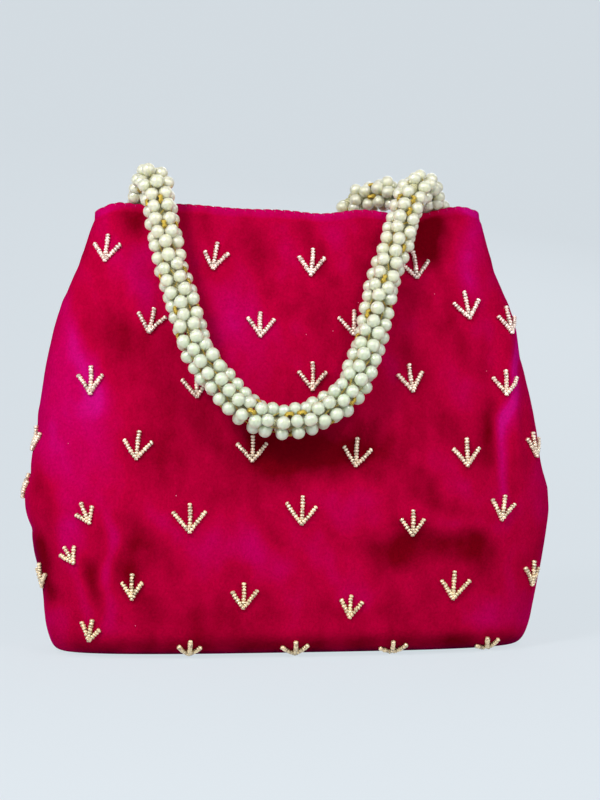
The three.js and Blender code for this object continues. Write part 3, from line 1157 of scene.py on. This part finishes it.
class RopeMaker:
    """Weaves the pearls and threads of a rope, one mesh for each body."""

    def __init__(self):
        self.handles = bpy.context.scene.potli_handles
        self.pearls = defaultdict(bmesh.new)
        self.threads = defaultdict(bmesh.new)
        radius = self.handles.pearl_diameter / 2
        self.pearl = source_mesh("pearl", lambda part: bmesh.ops.create_uvsphere(
            part, u_segments=12, v_segments=8, radius=radius
        ))
        self.knot = self.thread_source("knot", 1.9 * MM, 0.68 * MM, 5)
        self.line = self.thread_source("line", 2.6 * MM, 0.2 * MM, 4)

    def thread_source(self, name, half, radius, sides):
        """One short thread along X, which dips at its ends."""
        dip = Vector((0, 0, -1.3 * MM))
        along = Vector((half, 0, 0))
        line = [dip - along, along * -0.45, along * 0.45, dip + along]
        return source_mesh(name, lambda part: tube_along(part, line, radius, sides, False))

    def phase(self, row, twist):
        """A group's rows are in line, and each group is turned by half a pearl from the last."""
        return row.group * math.pi / self.handles.pearls_round + twist * row.number

    def add_rope(self, plan, draw, twist):
        handles = self.handles
        for row in plan.rows:
            bm = self.pearls[plan.name, row.body]
            across, out = row_axes(row.way)
            phase = self.phase(row, twist) + draw.uniform(-0.07, 0.07)
            for index in range(handles.pearls_round):
                turn = phase + 2 * math.pi * index / handles.pearls_round
                reach = handles.ring_radius + draw.uniform(-0.35, 0.3) * MM
                spot = row.point + (across * math.cos(turn) + out * math.sin(turn)) * reach
                spot += row.way * draw.uniform(-0.5, 0.5) * MM
                spin = Matrix.Rotation(draw.uniform(0, math.pi), 4, (draw.random(), draw.random(), 1))
                size = Matrix.Scale(draw.uniform(0.95, 1.035), 4)
                add_copy(bm, self.pearl, Matrix.Translation(spot) @ spin @ size)
        self.add_threads(plan, draw, twist)

    def add_threads(self, plan, draw, twist):
        """Gold thread between the pearls: crossed knots in some squares of four, fine lines in the rest."""
        handles = self.handles
        for row, follower in zip(plan.rows, plan.rows[1:]):
            if follower.body != row.body:
                continue
            bm = self.threads[plan.name, row.body]
            middle = (row.point + follower.point) / 2
            way = (follower.point - row.point).normalized()
            across, out = row_axes(way)
            same_group = follower.group == row.group
            phase = self.phase(row, twist)
            for index in range(handles.pearls_round):
                angle = phase + math.pi * (2 * index + 1) / handles.pearls_round
                up = across * math.cos(angle) + out * math.sin(angle)
                side = way.cross(up).normalized()
                knotted = same_group and draw.random() < KNOT_SHARE
                lift = 0.8 if knotted else -0.3
                spot = middle + up * (handles.ring_radius + lift * MM)
                turns = (0.5, -0.45, 0.1) if knotted else (draw.uniform(-0.9, 0.9),)
                for turn in turns:
                    along = way * math.cos(turn) + side * math.sin(turn)
                    facing = Matrix((along, up.cross(along), up)).transposed().to_4x4()
                    add_copy(bm, self.knot if knotted else self.line, Matrix.Translation(spot) @ facing)


# Stage

def seen_directly(tree):
    """1 for what the camera sees, also in a reflection or through glass, and 0 for light that bounces."""
    rays = tree.nodes.new("ShaderNodeLightPath").outputs
    seen = rays["Is Camera Ray"]
    for name in ("Is Glossy Ray", "Is Transmission Ray"):
        seen = maths(tree, "MAXIMUM", seen, rays[name])
    return seen


def show_mix(tree, factor, first, second, output):
    """Shows a mix of two shaders at the tree's output."""
    mix = add_node(tree, "ShaderNodeMixShader", {0: factor, 1: first.outputs[0], 2: second.outputs[0]})
    tree.links.new(mix.outputs[0], tree.nodes[output].inputs["Surface"])


def floor_material():
    """A pale floor, which keeps part of its shadow where the camera sees it."""
    pale = bpy.context.scene.potli_stage.floor
    own_light = 0.84
    material, tree = new_material("pale floor")
    set_shader(tree, {"Base Color": pale, "Roughness": 0.9, "Specular IOR Level": 0.1})
    glow = add_node(tree, "ShaderNodeEmission", {"Color": pale})
    share = maths(tree, "MULTIPLY", seen_directly(tree), own_light)
    show_mix(tree, share, tree.nodes["Principled BSDF"], glow, "Material Output")
    return material


def make_floor():
    """A floor that sweeps up into a backdrop."""
    half_width, near, depth, height, bend = 3.0, 3.0, 0.4, 1.6, 1.5
    turns = 16
    bm = bmesh.new()
    ends = [bm.verts.new((x, -near, 0)) for x in (-half_width, half_width)]
    edges = [bm.edges.new(ends)]
    steps = [Vector((0, near + depth, 0))]
    last = Vector((0, 0))
    for index in range(1, turns + 1):
        angle = index / turns * math.pi / 2
        here = Vector((bend * math.sin(angle), bend * (1 - math.cos(angle))))
        steps.append(Vector((0, here.x - last.x, here.y - last.y)))
        last = here
    steps.append(Vector((0, 0, height)))
    for step in steps:
        grown = bmesh.ops.extrude_edge_only(bm, edges=edges)["geom"]
        edges = [item for item in grown if isinstance(item, bmesh.types.BMEdge)]
        verts = [item for item in grown if isinstance(item, bmesh.types.BMVert)]
        bmesh.ops.translate(bm, vec=step, verts=verts)
    bmesh.ops.recalc_face_normals(bm, faces=bm.faces)
    floor = new_object("stage_floor", bm, floor_material())


# Each lamp: its name, place, the height it points at, size in metres, power and colour
LAMPS = (
    ("left key", (-0.42, -0.55, 0.62), 0.12, 0.22, 4.2, (1.0, 0.98, 0.96)),
    ("right key", (0.3, -0.6, 0.66), 0.12, 0.22, 1.9, (1.0, 0.98, 0.97)),
    ("front fill", (-0.2, -1.3, 0.45), 0.1, 1.1, 1.7, (0.98, 0.99, 1.0)),
    ("left rim", (-0.95, -0.35, 0.4), 0.1, 0.5, 1.6, (1.0, 0.98, 1.0)),
    ("right rim", (0.85, -0.5, 0.45), 0.1, 0.5, 1.5, (1.0, 0.98, 1.0)),
    ("back fill", (0.4, 1.0, 0.8), 0.1, 0.8, 3.2, (1.0, 1.0, 1.0)),
)


def make_lamps():
    for name, place, aim, size, power, tint in LAMPS:
        light = bpy.data.lights.new(name, "AREA")
        light.shape = "DISK"
        light.size = size
        light.energy = power
        light.color = tint
        lamp = bpy.data.objects.new(name, light)
        lamp.location = place
        way = Vector((0, 0, aim)) - Vector(place)
        lamp.rotation_euler = way.to_track_quat("-Z", "Y").to_euler()
        bpy.context.scene.collection.objects.link(lamp)


def make_world():
    """A dim sky, which shows the backdrop's colour where the camera sees past the backdrop."""
    world = bpy.data.worlds.new("studio")
    bpy.context.scene.world = world
    world.use_nodes = True
    tree = world.node_tree
    dim = tree.nodes["Background"]
    feed(tree, dim.inputs["Color"], (0.9, 0.93, 1.0))
    feed(tree, dim.inputs["Strength"], 0.13)
    colours = {"Color": bpy.context.scene.potli_stage.floor, "Strength": 0.87}
    pale = add_node(tree, "ShaderNodeBackground", colours)
    show_mix(tree, seen_directly(tree), dim, pale, "World Output")


CAMERA_TARGET = Vector((3.2, -20, 113.7)) * MM
VIEW_SPAN = 362.5 * MM


def make_camera():
    """A camera that sees the view's span, from its top to its bottom, at the target."""
    stage = bpy.context.scene.potli_stage
    data = bpy.data.cameras.new("camera")
    camera = bpy.data.objects.new("camera", data)
    bpy.context.scene.collection.objects.link(camera)
    bpy.context.scene.camera = camera
    turn, rise = stage.azimuth, stage.elevation
    back = Vector((math.sin(turn) * math.cos(rise), -math.cos(turn) * math.cos(rise), math.sin(rise)))
    camera.location = CAMERA_TARGET + back * stage.distance
    camera.rotation_euler = (-back).to_track_quat("-Z", "Y").to_euler()
    data.sensor_width = SENSOR
    data.lens = SENSOR * stage.distance / VIEW_SPAN
    data.clip_start = 0.01
    bpy.context.view_layer.update()


# Operators

ROPE_ENDS = ("front_left", "front_right", "back_left", "back_right")


class POTLI_OT_stage(Operator):
    """Set up the floor, backdrop, lamps and camera"""
    bl_idname = "potli.stage"
    bl_label = "Stage"

    def execute(self, context):
        make_floor()
        make_lamps()
        make_world()
        make_camera()
        return {"FINISHED"}


class POTLI_OT_velvet(Operator):
    """Make the front, back and base velvet panels"""
    bl_idname = "potli.velvet"
    bl_label = "Velvet Panels"

    def execute(self, context):
        material = velvet_material()
        make_velvet_panel("front_panel", "front_velvet", -1, material)
        make_velvet_panel("back_panel", "back_velvet", 1, material)
        base = base_sheet(
            "base_panel", "base_velvet", "velvet", material,
            height=0.0, inset=(5.2 * MM, 22.2 * MM), down=True, rise=1.3 * MM,
        )
        # The base gets the same pile attribute, painted darker with the painted shade near the floor.
        set_pile_and_painted_light(base, -1)
        pink = twisted_material("hem thread", context.scene.potli_cloth.stitches, scale=1400, shine=0.3)
        hem_stitches("front_hem_stitches", -1, pink)
        hem_stitches("back_hem_stitches", 1, pink)
        return {"FINISHED"}


class POTLI_OT_lining(Operator):
    """Make the satin lining and finish the board under it"""
    bl_idname = "potli.lining"
    bl_label = "Lining and Board"

    def execute(self, context):
        satin = satin_material()
        lined_panel("front_satin", "front_lining", -1, satin)
        lined_panel("back_satin", "back_lining", 1, satin)
        base_sheet(
            "base_satin", "base_lining", "lining", satin,
            height=3.9 * MM, inset=(4.8 * MM, 9.9 * MM), down=False, rise=0.4 * MM,
        )
        card = plain_material(
            "base card", (0.45, 0.33, 0.19), metallic=0, roughness=0.9, grain_scale=300, strength=0.3
        )
        refinish("base_board", card)
        for end in ROPE_ENDS:
            refinish(f"{end}_tab", satin)
        return {"FINISHED"}


class POTLI_OT_snap(Operator):
    """Finish the two halves of the magnetic snap"""
    bl_idname = "potli.snap"
    bl_label = "Magnetic Snap"

    def execute(self, context):
        steel = plain_material(
            "snap metal", (0.72, 0.68, 0.58), metallic=1, roughness=0.28, grain_scale=900, strength=0.06
        )
        for name in ("snap_socket", "snap_stud"):
            refinish(name, steel)
        return {"FINISHED"}


class POTLI_OT_sprigs(Operator):
    """Sew the bead sprigs on the front and back"""
    bl_idname = "potli.sprigs"
    bl_label = "Bead Sprigs"

    def execute(self, context):
        material = bead_material()
        draw = random.Random(11)
        front = surface_of(bpy.data.objects["front_panel"])
        make_sprigs("front_sprigs", front_sprig_places(front), front, draw, material)
        back = surface_of(bpy.data.objects["back_panel"])
        make_sprigs("back_sprigs", back_sprig_places(back, draw), back, draw, material)
        return {"FINISHED"}


class POTLI_OT_handles(Operator):
    """Weave the pearls of both handles round their cords"""
    bl_idname = "potli.handles"
    bl_label = "Pearl Handles"

    def execute(self, context):
        handles = context.scene.potli_handles
        pearl = pearl_material()
        thread = twisted_material("gold thread", handles.thread, scale=900, shine=1)
        cord = twisted_material("core cord", handles.cord, scale=500, shine=0.2)
        draw = random.Random(5)
        maker = RopeMaker()
        for name, twist in (("front", 0.035), ("back", -0.03)):
            plan = RowPlan(name)
            maker.add_rope(plan, draw, twist)
            self.add_cords(plan, cord)
        self.place_pieces(maker, pearl, thread)
        for end in ROPE_ENDS:
            refinish(f"{end}_cord_end", cord)
        return {"FINISHED"}

    def replaced(self, name, body):
        """The CAD nodes that a rope's rows on one body stand for."""
        if body.endswith("handle"):
            return [f"{name}_pearls"]
        row = "end_row" if body == "bag" else f"fold_row_{body[-1]}"
        return [f"{name}_{hand}_{row}" for hand in ("left", "right")]

    def place_pieces(self, maker, pearl, thread):
        for (name, body), bm in maker.pearls.items():
            part = body if body != "bag" else f"{name}_ends"
            piece = new_object(f"{part}_pearl_rows", bm, pearl)
            settle(piece, body, "pearl", *self.replaced(name, body))
        for (name, body), bm in maker.threads.items():
            part = body if body != "bag" else f"{name}_ends"
            piece = new_object(f"{part}_thread", bm, thread)
            settle(piece, body, "thread")

    def add_cords(self, plan, cord):
        radius = bpy.context.scene.potli_handles.cord_radius
        meshes = defaultdict(bmesh.new)
        for body, line in plan.sections:
            if body == "bag":
                continue
            first = (line[1] - line[0]).normalized() * CORE_LAP
            last = (line[-1] - line[-2]).normalized() * CORE_LAP
            tube_along(meshes[body], [line[0] - first, *line, line[-1] + last], radius, 12)
        for body, bm in meshes.items():
            piece = new_object(f"{body}_core", bm, cord)
            nodes = [f"{plan.name}_cord"] if body.endswith("handle") else []
            settle(piece, body, "handle_cord", *nodes)


class POTLI_PT_sidebar(Panel):
    """Lists the bag's pieces and sizes"""
    bl_idname = "POTLI_PT_sidebar"
    bl_label = "Velvet Potli Bag"
    bl_space_type = "VIEW_3D"
    bl_region_type = "UI"
    bl_category = "Potli"

    def draw(self, context):
        for operator in OPERATORS:
            self.layout.operator(operator.bl_idname)
        for group, _ in SETTINGS:
            box = self.layout.box()
            settings = getattr(context.scene, group)
            for name in settings.__annotations__:
                box.prop(settings, name)


SETTINGS = (
    ("potli_cloth", PotliClothSettings),
    ("potli_handles", PotliHandleSettings),
    ("potli_sprigs", PotliSprigSettings),
    ("potli_stage", PotliStageSettings),
)
OPERATORS = (
    POTLI_OT_stage,
    POTLI_OT_velvet,
    POTLI_OT_lining,
    POTLI_OT_snap,
    POTLI_OT_sprigs,
    POTLI_OT_handles,
)


def register():
    for name, group in SETTINGS:
        bpy.utils.register_class(group)
        setattr(bpy.types.Scene, name, PointerProperty(type=group))
    for operator in OPERATORS:
        bpy.utils.register_class(operator)
    bpy.utils.register_class(POTLI_PT_sidebar)


def unregister():
    bpy.utils.unregister_class(POTLI_PT_sidebar)
    for operator in reversed(OPERATORS):
        bpy.utils.unregister_class(operator)
    for name, group in reversed(SETTINGS):
        delattr(bpy.types.Scene, name)
        bpy.utils.unregister_class(group)


def main():
    register()
    bpy.context.scene.view_settings.view_transform = "Standard"
    bpy.ops.potli.stage()
    bpy.ops.potli.velvet()
    bpy.ops.potli.lining()
    bpy.ops.potli.snap()
    bpy.ops.potli.sprigs()
    bpy.ops.potli.handles()


if __name__ == "__main__":
    main()
